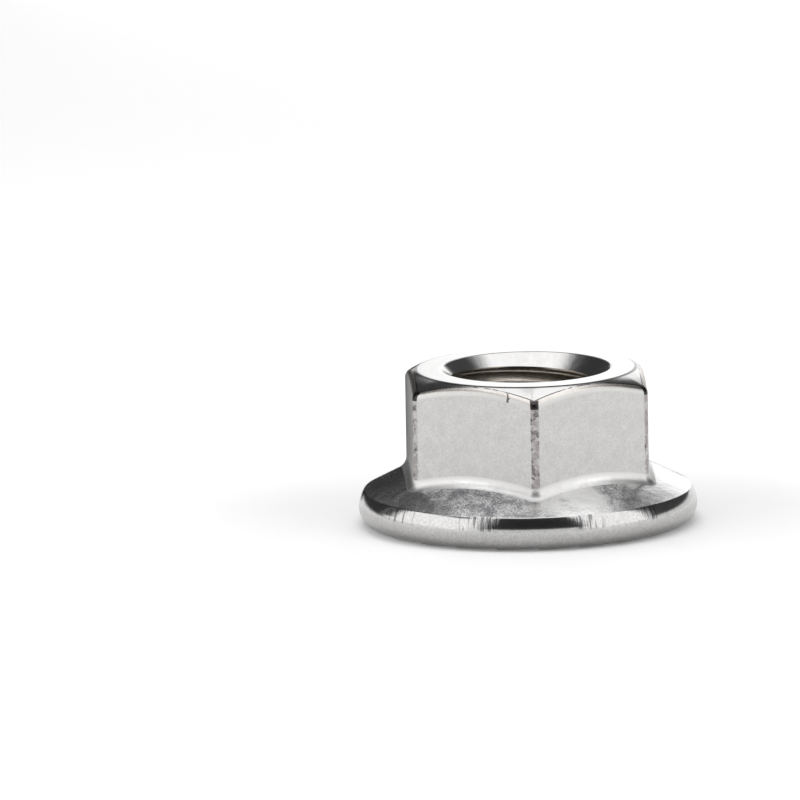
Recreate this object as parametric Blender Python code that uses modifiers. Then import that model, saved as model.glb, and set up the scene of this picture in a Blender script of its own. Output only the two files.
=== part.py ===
"""Serrated hex flange nut, M10 by 1.5, cold formed in one piece of stainless steel.

The nut stands on the plain ring of its underside at z = 0, with the thread's axis on +Z.
Two of its spanner flats face +X and -X, so one corner of the hexagon points to -Y.
All lengths are in metres.
"""

import math

import bmesh
import bpy
from mathutils import Matrix, Vector

# Overall and hexagon
NUT_HEIGHT = 0.00995
ACROSS_FLATS = 0.0150
HEX_CORNER_RADIUS = 0.0006
HEX_SIDES = 6

# Crown: a flat ring round the thread, which rolls over into a cone towards the corners
CROWN_RING_RADIUS = 0.00700
CROWN_SLOPE = math.radians(29)
CROWN_ROLL_WIDTH = 0.00008
CREST_ROUND_WIDTH = 0.00034

# Flange
FLANGE_DIAMETER = 0.0216
FLANGE_CREASE_HEIGHT = 0.00217
FLANGE_CREASE_INSET = 0.00035
FLANGE_WIDEST_HEIGHT = 0.00110
FLANGE_BOTTOM_ROUND = 0.00100
FLANGE_SLOPE = math.radians(27)
ROOT_FILLET_WIDTH = 0.00050
# On a narrow flange the fillet takes at most this share of the cone outside the corners
ROOT_FILLET_SHARE = 0.8

# Thread: right-hand, with 60 degrees between its flanks, in a bore of its minor diameter
THREAD_DIAMETER = 0.010
THREAD_PITCH = 0.0015
THREAD_FLANK = math.radians(30)
THREAD_START = math.radians(127.4)
TOP_COUNTERSINK_DIAMETER = 0.01085
BOTTOM_COUNTERSINK_DIAMETER = 0.0119
COUNTERSINK_ANGLE = math.radians(90)

# Serrations: the steps between round, tilted pockets that overlap like scales
TOOTH_COUNT = 24
TOOTH_DEPTH = 0.00018
TOOTH_INNER_DEPTH = 0.00006
TOOTH_ARC_RADIUS = 0.00425
TOOTH_WALL_SLOPE = math.radians(38)
TOOTH_PHASE = math.radians(-1)
PLAIN_RING_RADIUS = 0.00735

# Cutting tools run past the metal by this much, and surfaces that meet agree to the other
OVERRUN = 0.0010
MATCH = 0.00002

# Smoothness of the round forms
TURN_STEPS = 120
BORE_STEPS = 36
THREAD_STEPS = 36
TOOTH_STEPS = 48
ARC_STEPS = 6
CORNER_SEGMENTS = 4
EDGE_SEGMENTS = 5
ROLL_SEGMENTS = 2

# Sizes that follow from those above
FLANGE_RADIUS = FLANGE_DIAMETER / 2
# The groove's root is an eighth of the pitch wide, and the crest that it leaves is a quarter
GROOVE_HALF_ROOT = THREAD_PITCH / 16
GROOVE_HALF_MOUTH = THREAD_PITCH * 3 / 8
THREAD_DEPTH = (GROOVE_HALF_MOUTH - GROOVE_HALF_ROOT) / math.tan(THREAD_FLANK)
THREAD_RADIUS = THREAD_DIAMETER / 2
BORE_RADIUS = THREAD_RADIUS - THREAD_DEPTH
APOTHEM = ACROSS_FLATS / 2
HALF_CORNER = math.pi / HEX_SIDES
CORNER_REACH = (APOTHEM - HEX_CORNER_RADIUS) / math.cos(HALF_CORNER) + HEX_CORNER_RADIUS
FLANGE_CREASE_RADIUS = FLANGE_RADIUS - FLANGE_CREASE_INSET
BEARING_RADIUS = FLANGE_RADIUS - FLANGE_BOTTOM_ROUND
CORNER_LEDGE = max(0, FLANGE_CREASE_RADIUS - CORNER_REACH) / math.cos(FLANGE_SLOPE)
ROOT_FILLET = min(ROOT_FILLET_WIDTH, CORNER_LEDGE * ROOT_FILLET_SHARE)


def clear_scene():
    """Empty the scene of its startup objects."""
    for item in list(bpy.data.objects):
        bpy.data.objects.remove(item)


def new_collection(name, tools=False):
    """Make a collection; one that holds cutting tools stays out of renders."""
    collection = bpy.data.collections.new(name)
    collection.hide_render = tools
    bpy.context.scene.collection.children.link(collection)
    return collection


def new_object(name, mesh, collection):
    """Make an object of a mesh, as a wire outline if its collection holds cutting tools."""
    item = bpy.data.objects.new(name, mesh)
    collection.objects.link(item)
    if collection.hide_render:
        item.hide_render = True
        item.display_type = "WIRE"
    return item


def mesh_from(name, build):
    """Make a mesh from a new bmesh that the function build has filled."""
    shape = bmesh.new()
    build(shape)
    mesh = bpy.data.meshes.new(name)
    shape.to_mesh(mesh)
    shape.free()
    return mesh


def arc(centre, reach, start, end, steps=ARC_STEPS):
    """List the points of an oval's arc in the turning plane. It reaches out and up by reach."""
    angles = (start + (end - start) * step / steps for step in range(steps + 1))
    return [
        (centre[0] + reach[0] * math.cos(angle), centre[1] + reach[1] * math.sin(angle))
        for angle in angles
    ]


def turned(name, outline, collection, steps=TURN_STEPS):
    """Turn a half section about Z. The outline runs from the axis at the top down to the axis."""
    mesh = bpy.data.meshes.new(name)
    points = [(radius, 0, height) for radius, height in outline]
    edges = [(index, index + 1) for index in range(len(outline) - 1)]
    mesh.from_pydata(points, edges, [])
    item = new_object(name, mesh, collection)
    item.rotation_euler.z = math.pi / steps
    screw = item.modifiers.new("turn", "SCREW")
    screw.steps = steps
    screw.render_steps = steps
    screw.use_merge_vertices = True
    screw.merge_threshold = MATCH / 2
    return item


def boolean(item, operation, tool):
    """Join, cut or intersect an object with another object or with a whole collection."""
    modifier = item.modifiers.new(operation.lower(), "BOOLEAN")
    modifier.operation = operation
    modifier.solver = "EXACT"
    if isinstance(tool, bpy.types.Collection):
        modifier.operand_type = "COLLECTION"
        modifier.collection = tool
    else:
        modifier.object = tool


def applied_mesh(item, name):
    """Read an object with its modifiers into a new mesh."""
    bpy.context.view_layer.update()
    graph = bpy.context.evaluated_depsgraph_get()
    mesh = bpy.data.meshes.new_from_object(item.evaluated_get(graph))
    mesh.name = name
    return mesh


def round_edges(mesh, chosen, width, segments):
    """Round the edges that the test picks, by a width measured along both of their faces."""
    shape = bmesh.new()
    shape.from_mesh(mesh)
    bmesh.ops.bevel(
        shape,
        geom=[edge for edge in shape.edges if chosen(edge)],
        offset=width,
        offset_type="OFFSET",
        segments=segments,
        profile=0.5,
        affect="EDGES",
        clamp_overlap=True,
    )
    shape.to_mesh(mesh)
    shape.free()


def steel():
    """Make the bright stainless steel of the nut."""
    material = bpy.data.materials.new("stainless_steel")
    material.use_nodes = True
    shader = material.node_tree.nodes["Principled BSDF"]
    shader.inputs["Base Color"].default_value = (0.74, 0.73, 0.71, 1)
    shader.inputs["Metallic"].default_value = 1
    shader.inputs["Roughness"].default_value = 0.24
    return material


def flange_section():
    """Section of the flange: a cone, a sharp crease and a barrelled rim over a flat foot."""
    rise = FLANGE_CREASE_RADIUS * math.tan(FLANGE_SLOPE)
    lift = FLANGE_CREASE_HEIGHT - FLANGE_WIDEST_HEIGHT
    barrel = (FLANGE_CREASE_INSET**2 + lift**2) / (2 * FLANGE_CREASE_INSET)
    start = math.atan2(lift, barrel - FLANGE_CREASE_INSET)
    upper = arc((FLANGE_RADIUS - barrel, FLANGE_WIDEST_HEIGHT), (barrel, barrel), start, 0)
    below = (FLANGE_BOTTOM_ROUND, FLANGE_WIDEST_HEIGHT)
    lower = arc((BEARING_RADIUS, FLANGE_WIDEST_HEIGHT), below, 0, -math.pi / 2)
    return [(0, FLANGE_CREASE_HEIGHT + rise), *upper, *lower[1:], (0, 0)]


def crown_section():
    """Section that shapes the top: the flat ring, the cone, and a side past the corners."""
    side = CORNER_REACH + OVERRUN
    fall = (side - CROWN_RING_RADIUS) * math.tan(CROWN_SLOPE)
    return [
        (0, NUT_HEIGHT),
        (CROWN_RING_RADIUS, NUT_HEIGHT),
        (side, NUT_HEIGHT - fall),
        (side, 0),
        (0, 0),
    ]


def bore_section():
    """Section of the tool that cuts the bore and the countersinks at both of its ends."""
    flare = math.tan(COUNTERSINK_ANGLE / 2)
    top = TOP_COUNTERSINK_DIAMETER / 2
    bottom = BOTTOM_COUNTERSINK_DIAMETER / 2
    return [
        (0, NUT_HEIGHT + OVERRUN),
        (top + OVERRUN * flare, NUT_HEIGHT + OVERRUN),
        (BORE_RADIUS, NUT_HEIGHT - (top - BORE_RADIUS) / flare),
        (BORE_RADIUS, (bottom - BORE_RADIUS) / flare),
        (bottom + OVERRUN * flare, -OVERRUN),
        (0, -OVERRUN),
    ]


def groove_cutter(collection):
    """Make the tool that cuts the thread's groove: its outline, screwed up through the nut."""
    spare = THREAD_PITCH / 2 - GROOVE_HALF_MOUTH
    inner = BORE_RADIUS - spare / 2 / math.tan(THREAD_FLANK)
    mouth = GROOVE_HALF_MOUTH + spare / 2
    mesh = bpy.data.meshes.new("groove_outline")
    mesh.from_pydata(
        [
            (inner, 0, mouth),
            (THREAD_RADIUS, 0, GROOVE_HALF_ROOT),
            (THREAD_RADIUS, 0, -GROOVE_HALF_ROOT),
            (inner, 0, -mouth),
        ],
        [(0, 1), (1, 2), (2, 3), (3, 0)],
        [],
    )
    outline = new_object("groove_outline", mesh, collection)
    screw = outline.modifiers.new("thread", "SCREW")
    screw.steps = THREAD_STEPS
    screw.render_steps = THREAD_STEPS
    screw.screw_offset = THREAD_PITCH
    screw.iterations = math.ceil(NUT_HEIGHT / THREAD_PITCH) + 2

    groove = applied_mesh(outline, "groove")
    shape = bmesh.new()
    shape.from_mesh(groove)
    ends = [edge for edge in shape.edges if edge.is_boundary]
    bmesh.ops.holes_fill(shape, edges=ends, sides=0)
    bmesh.ops.recalc_face_normals(shape, faces=shape.faces[:])
    shape.to_mesh(groove)
    shape.free()
    cutter = new_object("groove_cutter", groove, collection)
    cutter.location.z = -THREAD_PITCH
    cutter.rotation_euler.z = THREAD_START
    return cutter


def hexagon(collection):
    """Make the six-sided prism with its upright corners rounded, a flat facing +X."""
    foot = FLANGE_CREASE_HEIGHT / 2
    top = NUT_HEIGHT + OVERRUN
    sharp = APOTHEM / math.cos(HALF_CORNER)

    def build(shape):
        bmesh.ops.create_cone(
            shape,
            cap_ends=True,
            segments=HEX_SIDES,
            radius1=sharp,
            radius2=sharp,
            depth=top - foot,
            matrix=Matrix.Translation((0, 0, (top + foot) / 2)),
        )
        upright = [e for e in shape.edges if abs(e.verts[0].co.z - e.verts[1].co.z) > MATCH]
        bmesh.ops.bevel(
            shape,
            geom=upright,
            offset=HEX_CORNER_RADIUS * math.tan(HALF_CORNER),
            offset_type="OFFSET",
            segments=CORNER_SEGMENTS,
            profile=0.5,
            affect="EDGES",
        )

    return new_object("hexagon", mesh_from("hexagon", build), collection)


def tooth_floor():
    """Plane of a pocket's floor and the middle of its round edge, for a step that ends on +X."""
    centre = PLAIN_RING_RADIUS + TOOTH_ARC_RADIUS
    spread = BEARING_RADIUS**2 + centre**2 - TOOTH_ARC_RADIUS**2
    sweep = math.acos(spread / (2 * BEARING_RADIUS * centre))
    pitch = 2 * math.pi / TOOTH_COUNT

    def at(radius, angle, height):
        return Vector((radius * math.cos(angle), radius * math.sin(angle), height))

    root = at(BEARING_RADIUS, 0, TOOTH_DEPTH)
    tip = at(BEARING_RADIUS, -pitch, 0)
    inner = at(PLAIN_RING_RADIUS, -sweep, TOOTH_INNER_DEPTH)
    normal = (inner - root).cross(tip - root).normalized()
    if normal.z < 0:
        normal.negate()
    middle = at(centre, -sweep, 0)
    middle.z = root.z - (middle - root).dot(normal) / normal.z
    return middle, normal


def tooth_cutter_mesh():
    """Make the tool for one pocket: a tilted disc under its floor, wider towards the mouth."""
    middle, normal = tooth_floor()
    depth = TOOTH_DEPTH + OVERRUN
    tilt = Vector((0, 0, 1)).rotation_difference(normal).to_matrix().to_4x4()

    def build(shape):
        bmesh.ops.create_cone(
            shape,
            cap_ends=True,
            segments=TOOTH_STEPS,
            radius1=TOOTH_ARC_RADIUS + depth / math.tan(TOOTH_WALL_SLOPE),
            radius2=TOOTH_ARC_RADIUS,
            depth=depth,
            matrix=Matrix.Translation(middle)
            @ tilt
            @ Matrix.Translation((0, 0, -depth / 2)),
        )

    return mesh_from("tooth_cutter", build)


def serration_cutters(collection):
    """Place one cutter for each tooth, evenly round the axis."""
    mesh = tooth_cutter_mesh()
    for number in range(TOOTH_COUNT):
        cutter = new_object(f"tooth_cutter_{number + 1:02d}", mesh, collection)
        turn = 2 * math.pi * number / TOOTH_COUNT + TOOTH_PHASE - math.pi / 2
        cutter.rotation_euler.z = turn


def on_hexagon_wall(edge):
    """Tell whether an edge bounds the upright wall of the hexagon, at its crown or its root."""
    if len(edge.link_faces) != 2:
        return False
    steep = [abs(face.normal.z) < math.sin(math.radians(5)) for face in edge.link_faces]
    near = all(v.co.xy.length < CORNER_REACH + MATCH for v in edge.verts)
    high = all(v.co.z > FLANGE_CREASE_HEIGHT for v in edge.verts)
    return steep[0] != steep[1] and near and high


def on_crown_ring(edge):
    """Tell whether an edge lies on the circle where the crown's flat ring meets its cone."""
    return all(
        abs(v.co.xy.length - CROWN_RING_RADIUS) < MATCH and abs(v.co.z - NUT_HEIGHT) < MATCH
        for v in edge.verts
    )


def make_blank(tools):
    """Make the formed blank: the crowned hexagon on its flange, with rounded edges."""
    hexagon_tool = hexagon(tools)
    boolean(hexagon_tool, "INTERSECT", turned("crown", crown_section(), tools))
    boolean(hexagon_tool, "UNION", turned("flange", flange_section(), tools))
    mesh = applied_mesh(hexagon_tool, "blank")
    middle = (NUT_HEIGHT + FLANGE_CREASE_HEIGHT) / 2

    def is_crest(edge):
        return on_hexagon_wall(edge) and edge.verts[0].co.z > middle

    def is_root(edge):
        return on_hexagon_wall(edge) and edge.verts[0].co.z < middle

    round_edges(mesh, is_crest, CREST_ROUND_WIDTH, EDGE_SEGMENTS)
    round_edges(mesh, is_root, ROOT_FILLET, EDGE_SEGMENTS)
    round_edges(mesh, on_crown_ring, CROWN_ROLL_WIDTH, ROLL_SEGMENTS)
    return mesh


def main():
    """Form the blank, then cut the bore, its thread and the serrations."""
    clear_scene()
    parts = new_collection("hex_flange_nut")
    tools = new_collection("cutters", tools=True)
    teeth = new_collection("tooth_cutters", tools=True)
    serration_cutters(teeth)

    formed = new_object("formed_blank", make_blank(tools), tools)
    boolean(formed, "DIFFERENCE", turned("bore", bore_section(), tools, BORE_STEPS))
    boolean(formed, "DIFFERENCE", groove_cutter(tools))
    boolean(formed, "DIFFERENCE", teeth)

    mesh = applied_mesh(formed, "hex_flange_nut")
    mesh.shade_smooth()
    mesh.set_sharp_from_angle(angle=math.radians(28))
    mesh.materials.clear()
    mesh.materials.append(steel())
    new_object("hex_flange_nut", mesh, parts)


main()
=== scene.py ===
"""Studio view of a serrated hex flange nut, M10 by 1.5, in bright stainless steel."""

import logging
import math
from dataclasses import dataclass, field
from enum import Enum
from functools import reduce
from typing import ClassVar

import bmesh
import bpy
import numpy as np
from mathutils import Matrix, Vector


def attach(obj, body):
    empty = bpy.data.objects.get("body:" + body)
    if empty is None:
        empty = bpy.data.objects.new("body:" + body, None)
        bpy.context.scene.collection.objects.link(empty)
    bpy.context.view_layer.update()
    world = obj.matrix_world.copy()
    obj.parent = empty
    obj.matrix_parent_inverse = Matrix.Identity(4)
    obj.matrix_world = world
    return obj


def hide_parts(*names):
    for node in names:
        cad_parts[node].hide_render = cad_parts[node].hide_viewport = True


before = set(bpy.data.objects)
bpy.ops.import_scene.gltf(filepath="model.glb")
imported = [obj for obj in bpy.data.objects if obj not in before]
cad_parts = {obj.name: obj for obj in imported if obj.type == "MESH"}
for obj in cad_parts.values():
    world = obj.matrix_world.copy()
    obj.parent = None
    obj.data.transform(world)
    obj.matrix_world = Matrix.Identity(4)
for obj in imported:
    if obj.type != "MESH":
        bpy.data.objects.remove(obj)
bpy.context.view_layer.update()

MM = 0.001
LOG = logging.getLogger("hex_flange_nut")

# How often an interval is halved to find where two curves cross
HALVINGS = 34
# Lengths below which a point lies on a cone, and a step between rows counts as none
ON_CONE = 1e-6
NO_STEP = 1e-9

Colour = tuple[float, float, float]
Socket = bpy.types.NodeSocket
# Radius and height of a point of the section, one for each column or one for all
Station = tuple[np.ndarray | float, np.ndarray | float]


def smooth(edge_low: float, edge_high: float, value: np.ndarray) -> np.ndarray:
    """Rise smoothly from 0 to 1 as a value passes from one edge to the other.

    Args:
        edge_low: value at which the rise starts.
        edge_high: value at which it ends.
        value: the values to map.

    Returns:
        The cubic 3t^2 - 2t^3 of the clipped share t between the edges.
    """
    share = np.clip((value - edge_low) / (edge_high - edge_low), 0.0, 1.0)
    return share * share * (3.0 - 2.0 * share)


def direction(azimuth: np.ndarray | float, elevation: np.ndarray | float) -> np.ndarray:
    """Return the direction (cos e sin a, -cos e cos a, sin e) of an azimuth and an elevation.

    Args:
        azimuth: angles a from -Y towards +X, in radians.
        elevation: angles e over the floor, in radians.

    Returns:
        The unit vectors, with their three parts along the last axis.
    """
    flat = np.cos(elevation)
    parts = (flat * np.sin(azimuth), -flat * np.cos(azimuth), np.sin(elevation))
    return np.stack(np.broadcast_arrays(*parts), axis=-1)


def add_object(name: str, data: bpy.types.ID) -> bpy.types.Object:
    """Add an object that shows a mesh, light or camera to the scene."""
    made = bpy.data.objects.new(name, data)
    bpy.context.scene.collection.objects.link(made)
    return made


class Region(Enum):
    """A zone of the nut's surface with a finish of its own. The value is its material index."""

    RING = 0
    CROWN = 1
    FLATS = 2
    FLANGE = 3
    RIM = 4
    TEETH = 5
    COUNTERSINK = 6
    THREAD = 7
    CREST = 8
    ROOT = 9


@dataclass
class Band:
    """Rows of the nut's surface that share a finish.

    The arrays hold one row for each ring of points and one column for each azimuth. Angles are in
    radians, lengths in millimetres. The last row of a band is the first of the next.
    """

    region: Region
    azimuth: np.ndarray
    radius: np.ndarray
    height: np.ndarray

    @classmethod
    def of(
        cls, region: Region, azimuth: np.ndarray, radius: np.ndarray, height: np.ndarray
    ) -> "Band":
        """Make a band of arrays that are spread to one shape."""
        spread = np.broadcast_arrays(azimuth, radius, height)
        return cls(region, *(np.array(values, float) for values in spread))

    @classmethod
    def line(
        cls,
        region: Region,
        azimuth: np.ndarray,
        start: Station,
        end: Station,
        shares: tuple[float, ...],
    ) -> "Band":
        """Make a band with a straight section, its rows at shares of the way from start to end."""
        share = np.array(shares)[:, None]
        radius, height = (first + (last - first) * share for first, last in zip(start, end))
        return cls.of(region, azimuth, radius, height)

    @classmethod
    def arc(
        cls,
        region: Region,
        azimuth: np.ndarray,
        start: Station,
        corner: Station,
        end: Station,
        weight: np.ndarray | float,
        rows: int,
    ) -> "Band":
        """Make a band that rounds a corner of the section with a conic arc.

        The point at share t is the weighted mean of start, corner and end, with the weights
        (1-t)^2, 2wt(1-t) and t^2. With w the cosine of half the turn it is a circle's arc.

        Args:
            region: the zone that the band belongs to.
            azimuth: azimuth of each column.
            start: where the arc leaves the first side.
            corner: where the two sides would meet.
            end: where the arc joins the second side.
            weight: weight w of the corner.
            rows: number of rows, at even shares.

        Returns:
            The band, from start to end.
        """
        t = np.linspace(0, 1, rows)[:, None]
        first, middle, last = (1 - t) ** 2, 2 * weight * t * (1 - t), t**2
        total = first + middle + last
        radius, height = (
            (first * start[axis] + middle * corner[axis] + last * end[axis]) / total
            for axis in (0, 1)
        )
        return cls.of(region, azimuth, radius, height)

    def points(self) -> np.ndarray:
        """Return the rows' points, x = r cos a, y = r sin a, z, as an array rows x columns x 3."""
        return np.stack(
            (
                self.radius * np.cos(self.azimuth),
                self.radius * np.sin(self.azimuth),
                self.height,
            ),
            axis=-1,
        )


@dataclass(frozen=True)
class Rows:
    """How many rows each band has, or the shares of its length at which they lie.

    Rows stand close together at a straight band's ends, so that its shading stays flat between.
    The plain ring's rows are given in millimetres from its outer edge.
    """

    ring: int = 5
    edge: int = 5
    cone: tuple[float, ...] = (0.0, 0.04, 0.2, 0.4, 0.6, 0.8, 0.96, 1.0)
    crest: int = 9
    flat: tuple[float, ...] = (0.0, 0.006, 0.03, 0.25, 0.5, 0.75, 0.97, 0.994, 1.0)
    root: int = 10
    flange: tuple[float, ...] = (0.0, 0.02, 0.25, 0.5, 0.75, 0.98, 1.0)
    barrel: int = 9
    foot: int = 11
    teeth: int = 20
    plain: tuple[float, ...] = (0.45, 0.8)
    mouth: int = 4


@dataclass
class FlangeSerrations:
    """Sizes and surface of the serrations under the flange, in millimetres and radians.

    Each pocket is a round, tilted disc that is sunk into the underside. Its floor is a plane. From
    the disc's edge outwards, the floor falls back to the bearing plane along a steep wall. The
    next pocket starts at the wall's foot, so that the steps overlap like scales.
    """

    count: int = 24
    depth: float = 0.18
    inner_depth: float = 0.06
    arc_radius: float = 4.25
    wall_slope: float = math.radians(38)
    wall_reach: float = 0.8
    phase: float = math.radians(-91)
    bearing_radius: float = 9.796
    ring_radius: float = 7.35
    columns: int = 30
    wall_columns: int = 4

    def __post_init__(self) -> None:
        """Work out the pocket's centre, its sweep and the plane of its floor."""
        self.pitch = 2 * math.pi / self.count
        self.centre_radius = self.ring_radius + self.arc_radius
        self.sweep = float(self.lag(np.array(self.bearing_radius)))
        root = self._corner(self.bearing_radius, 0.0, self.depth)
        tip = self._corner(self.bearing_radius, -self.pitch, 0.0)
        inner = self._corner(self.ring_radius, -self.sweep, self.inner_depth)
        self.root, self.normal = root, np.cross(inner - root, tip - root)

    @staticmethod
    def _corner(radius: float, angle: float, height: float) -> np.ndarray:
        """Return a point from its radius, azimuth and height."""
        return np.array([radius * math.cos(angle), radius * math.sin(angle), height])

    def lag(self, radius: np.ndarray) -> np.ndarray:
        """Return the azimuth between a pocket's centre and its edge, by the cosine rule."""
        reach = np.clip(radius, self.ring_radius, None)
        ratio = (reach**2 + self.centre_radius**2 - self.arc_radius**2) / (
            2 * reach * self.centre_radius
        )
        return np.arccos(np.clip(ratio, -1.0, 1.0))

    def pocket(self, radius: np.ndarray, azimuth: np.ndarray, number: int) -> np.ndarray:
        """Return the height of one pocket's surface: its plane, less the wall outside its edge.

        Args:
            radius: radii of the points.
            azimuth: azimuths of the points, from the first pocket's root.
            number: which pocket, counted counterclockwise from the first.

        Returns:
            The height over the bearing plane, which is negative outside the pocket.
        """
        angle = azimuth - number * self.pitch
        x, y = radius * np.cos(angle), radius * np.sin(angle)
        plane = self.root[2] - (
            (x - self.root[0]) * self.normal[0] + (y - self.root[1]) * self.normal[1]
        ) / self.normal[2]
        away = np.hypot(
            x - self.centre_radius * math.cos(self.sweep),
            y + self.centre_radius * math.sin(self.sweep),
        )
        return plane - np.maximum(0.0, away - self.arc_radius) * math.tan(self.wall_slope)

    def floor(self, radius: np.ndarray, azimuth: np.ndarray) -> np.ndarray:
        """Return the underside's height: the highest of the bearing plane and the near pockets."""
        near = [self.pocket(radius, azimuth, number) for number in range(-2, 4)]
        return np.maximum(0.0, np.max(near, axis=0))

    def crest(self, radius: np.ndarray) -> np.ndarray:
        """Return the azimuth at which the first pocket's wall reaches the next pocket's floor.

        The height over the floor falls along the wall, so that halving an interval finds the foot.
        The wall takes less than the reach, a share of the pitch.
        """
        low = self.lag(radius) - self.sweep
        high = low + self.wall_reach * self.pitch
        for _ in range(HALVINGS):
            middle = (low + high) / 2
            rest = np.maximum(0.0, self.pocket(radius, middle, 1))
            above = self.pocket(radius, middle, 0) > rest
            low, high = np.where(above, middle, low), np.where(above, high, middle)
        return (low + high) / 2

    def azimuth(self, radius: np.ndarray, column: np.ndarray) -> np.ndarray:
        """Return each column's azimuth, so that columns run along the walls' roots and crests.

        Args:
            radius: radius of each point.
            column: number of the column within its pitch, from 0 at the wall's root.

        Returns:
            The azimuth from the first pocket's root at the bearing radius.
        """
        root = self.lag(radius) - self.sweep
        crest = self.crest(radius)
        on_wall = column / self.wall_columns
        on_floor = (column - self.wall_columns) / (self.columns - self.wall_columns)
        return np.where(
            column < self.wall_columns,
            root + (crest - root) * on_wall,
            crest + (root + self.pitch - crest) * on_floor,
        )

    def spread(self, one_pitch: np.ndarray, step: float) -> np.ndarray:
        """Repeat the columns of one pitch round the nut, adding a step for each pitch.

        Args:
            one_pitch: rows x columns of one pitch.
            step: amount that each further pitch adds, the pitch for azimuths and 0 for lengths.

        Returns:
            Rows x columns of the whole turn.
        """
        turns = np.arange(self.count)[None, :, None] * step
        return (one_pitch[:, None, :] + turns).reshape(len(one_pitch), -1)


@dataclass
class Thread:
    """Sizes and surface of the bore: a right-hand 60 degree thread between two countersinks."""

    pitch: float = 1.5
    minor_radius: float = 4.188
    major_radius: float = 5.0
    crest_share: float = 0.25
    root_share: float = 0.125
    soft: float = 0.035
    top_radius: float = 5.425
    bottom_radius: float = 5.95
    edge_break: float = 0.05
    start: float = math.radians(127.4)
    columns: int = 240

    def stations(self) -> tuple[np.ndarray, np.ndarray]:
        """Return the profile over one pitch: heights from 0 up to the pitch, and radii.

        The crest at the minor radius is flat with softened corners, the flanks rise at 30 degrees
        to the horizontal, and the root at the major radius is a shallow round. Half a pitch is
        listed, as steps up and out from the crest's middle, and mirrored. The crest's corner is
        softened from one soft before it to 1.3 soft after it, by way of a point just outside it.
        """
        crest, root = self.crest_share * self.pitch / 2, self.root_share * self.pitch / 2
        half, soft = self.pitch / 2, self.soft
        depth = self.major_radius - self.minor_radius
        flank = half - crest - root
        up = np.array([0.0, crest - soft, crest + soft * 0.3, crest + soft * 1.3])
        out = np.array([0.0, 0.0, soft * 0.35, depth * soft * 1.3 / flank])
        up = np.append(up, [crest + flank * 0.5, half - root - soft, half - root * 0.8])
        out = np.append(out, [depth * 0.5, depth * (1 - soft / flank), depth * 0.985])
        up = np.concatenate((up, [half], self.pitch - up[:0:-1]))
        out = np.concatenate((out, [depth], out[:0:-1]))
        return up, self.minor_radius + out

    def cones(self, height: np.ndarray, top: float) -> np.ndarray:
        """Return the radius of the 90 degree countersinks: the mouth's radius less the depth."""
        return np.maximum(self.top_radius - (top - height), self.bottom_radius - height)

    def rows(self, top: float, azimuth: np.ndarray) -> Band:
        """Build the bore from its lower end up to its upper end.

        Row m at azimuth a lies at the height of profile station m plus a pitch for each turn, so
        that the groove's middle crosses the plane of the foot at the start azimuth. The heights
        are clipped to the bore's ends, and the radius is the larger of the thread's and the
        countersinks'.

        Args:
            top: height of the nut.
            azimuth: azimuth of each column, the first repeated one turn on at the end.

        Returns:
            The band, whose last column closes on the first after as many rows as a pitch has.
        """
        up, out = self.stations()
        turns = int(math.ceil(top / self.pitch)) + 3
        ahead = (azimuth[0] - self.start) / (2 * math.pi) - 0.5
        lowest = -2 - math.floor(ahead)
        base = ((np.arange(lowest, lowest + turns)[:, None] + ahead) * self.pitch + up).ravel()
        profile = np.tile(out, turns)
        share = (azimuth - azimuth[0]) / (2 * math.pi)
        height = base[:, None] + self.pitch * share[None, :]
        height = np.clip(height, self.edge_break, top - self.edge_break)
        radius = np.broadcast_to(profile[:, None], height.shape)
        height, radius = self.snap(height, radius, top)
        return Band.of(Region.THREAD, azimuth[None, :], radius, height)

    def snap(
        self, height: np.ndarray, radius: np.ndarray, top: float
    ) -> tuple[np.ndarray, np.ndarray]:
        """Open the thread into the countersinks, with rows moved onto the edges between them.

        In a column, the thread and a countersink cross between two rows where the thread's lead
        in radius changes sign. The crossing lies at the share lead / (lead - next lead), because
        both are straight between rows. The row nearer to it is moved there.

        Args:
            height: heights of the rows, rows x columns.
            radius: the thread's radii there.
            top: height of the nut.

        Returns:
            The new heights, and the larger radius of the thread and the countersinks.
        """
        lead = radius - self.cones(height, top)
        step = np.diff(height, axis=0)
        crosses = (lead[:-1] * lead[1:] < 0) & (step > NO_STEP)
        share = lead[:-1] / np.where(crosses, lead[:-1] - lead[1:], 1.0)
        at_height = height[:-1] + share * step
        at_radius = self.cones(at_height, top)
        height, radius = height.copy(), np.maximum(radius, self.cones(height, top))
        for near, rows in ((share < 0.5, slice(None, -1)), (share >= 0.5, slice(1, None))):
            chosen = crosses & near
            height[rows] = np.where(chosen, at_height, height[rows])
            radius[rows] = np.where(chosen, at_radius, radius[rows])
        return height, radius


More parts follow.
